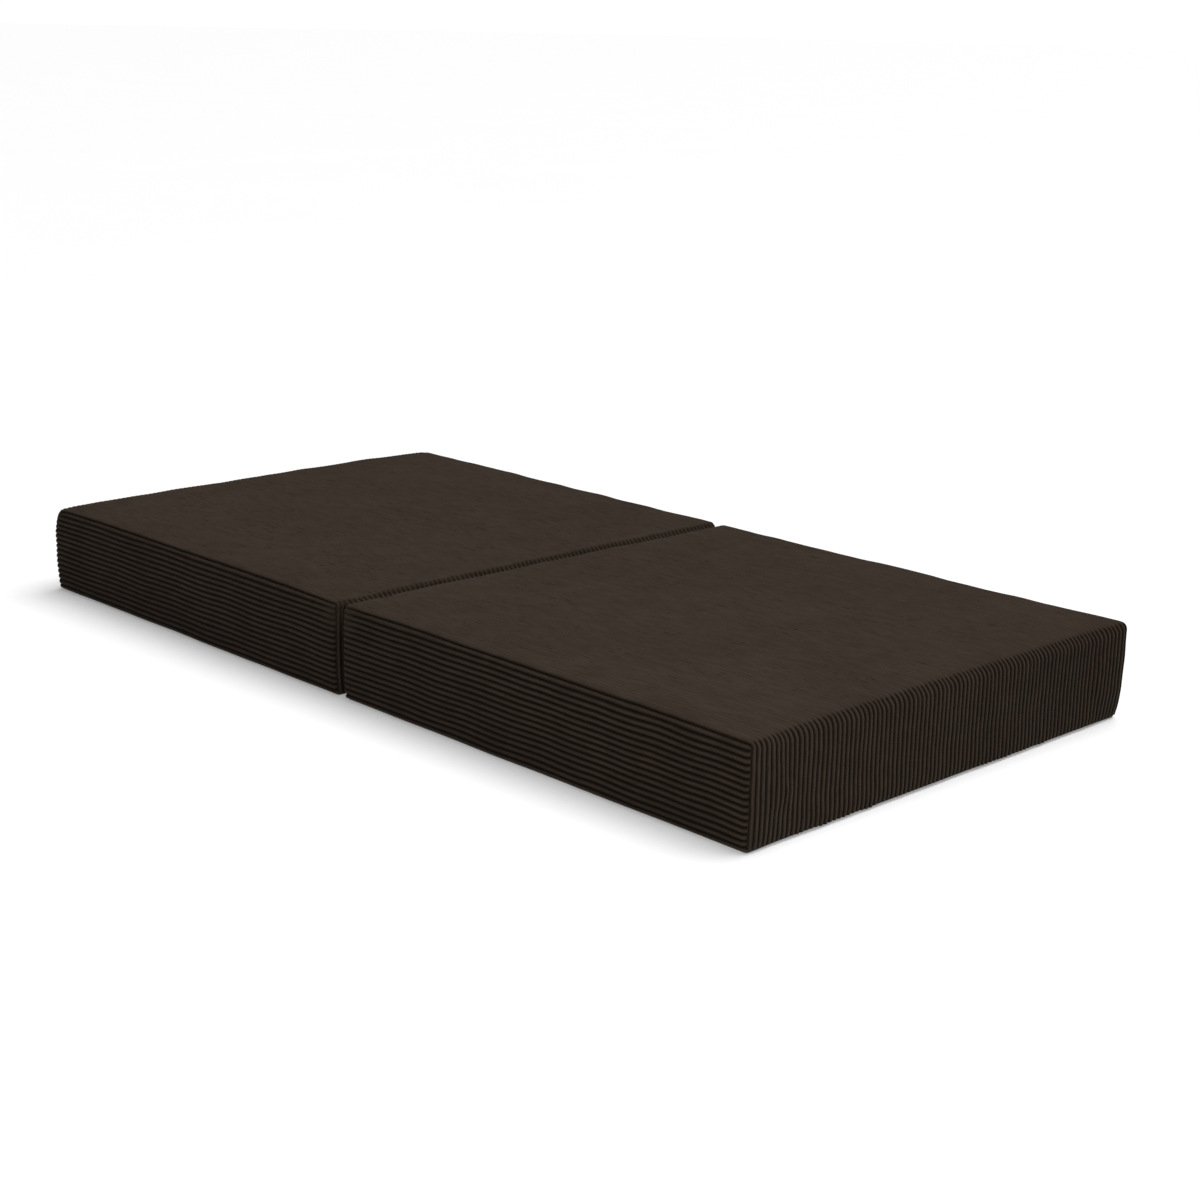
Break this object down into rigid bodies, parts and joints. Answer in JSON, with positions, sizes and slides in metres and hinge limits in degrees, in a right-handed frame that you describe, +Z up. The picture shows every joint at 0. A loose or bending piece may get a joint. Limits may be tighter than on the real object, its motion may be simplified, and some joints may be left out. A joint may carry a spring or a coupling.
{
  "type": "futon mattress",
  "caption": "Folding floor futon mattress in dark brown wide-wale corduroy: two foam blocks with zipped covers, joined by a fabric hinge along their top edges.",
  "frame": {"origin": "on the floor, under the middle of the open mattress, in the fold plane", "axes": "+X along the length from the head block to the foot block, +Y across to the zip side, +Z up"},
  "size_m": [1.905, 0.9696, 0.176],
  "materials": {
    "corduroy": "wide-wale cotton corduroy, dark brown, soft pile",
    "base_cloth": "woven non-slip base fabric with small rubber dots",
    "liner_cloth": "thin off-white knitted inner liner",
    "support_foam": "firm open-cell polyurethane foam",
    "comfort_foam": "soft open-cell foam",
    "zip_tape": "woven polyester zip tape",
    "zip_coil": "nylon coil, dark brown",
    "zip_metal": "dark antique brass",
    "label_cloth": "blank woven satin label"
  },
  "bodies": {
    "head_block": {"head_support_foam": "support_foam", "head_comfort_foam": "comfort_foam", "head_liner": "liner_cloth", "head_wrap_panel": "corduroy", "head_near_side_panel": "corduroy", "head_far_side_panel": "corduroy", "head_base_panel": "base_cloth", "head_hinge_strip_half": "corduroy", "head_zip_tape_upper": "zip_tape", "head_zip_tape_lower": "zip_tape", "head_zip_coil_upper": "zip_coil", "head_zip_coil_lower": "zip_coil", "head_zip_stops": "zip_metal", "head_care_label": "label_cloth"},
    "foot_block": {"foot_support_foam": "support_foam", "foot_comfort_foam": "comfort_foam", "foot_liner": "liner_cloth", "foot_wrap_panel": "corduroy", "foot_near_side_panel": "corduroy", "foot_far_side_panel": "corduroy", "foot_base_panel": "base_cloth", "foot_hinge_strip_half": "corduroy", "foot_zip_tape_upper": "zip_tape", "foot_zip_tape_lower": "zip_tape", "foot_zip_coil_upper": "zip_coil", "foot_zip_coil_lower": "zip_coil", "foot_zip_stops": "zip_metal", "foot_care_label": "label_cloth"},
    "head_slider": {"head_zip_slider": "zip_metal"},
    "head_pull": {"head_zip_pull": "zip_metal"},
    "foot_slider": {"foot_zip_slider": "zip_metal"},
    "foot_pull": {"foot_zip_pull": "zip_metal"}
  },
  "joints": [
    {"name": "fold", "type": "hinge", "parent": "head_block", "child": "foot_block", "pos_m": [0, 0, 0.1763], "axis": [0, -1, 0], "range_deg": [0, 180]},
    {"name": "head_zip_slide", "type": "slide", "parent": "head_block", "child": "head_slider", "axis": [-1, 0, 0], "range_m": [0, 0.8667]},
    {"name": "head_pull_swing", "type": "hinge", "parent": "head_slider", "child": "head_pull", "pos_m": [-0.0469, 0.4853, 0.034], "axis": [0, 0, -1], "range_deg": [0, 180]},
    {"name": "foot_zip_slide", "type": "slide", "parent": "foot_block", "child": "foot_slider", "axis": [1, 0, 0], "range_m": [0, 0.8667]},
    {"name": "foot_pull_swing", "type": "hinge", "parent": "foot_slider", "child": "foot_pull", "pos_m": [0.0469, 0.4853, 0.034], "axis": [0, 0, 1], "range_deg": [0, 180]}
  ]
}
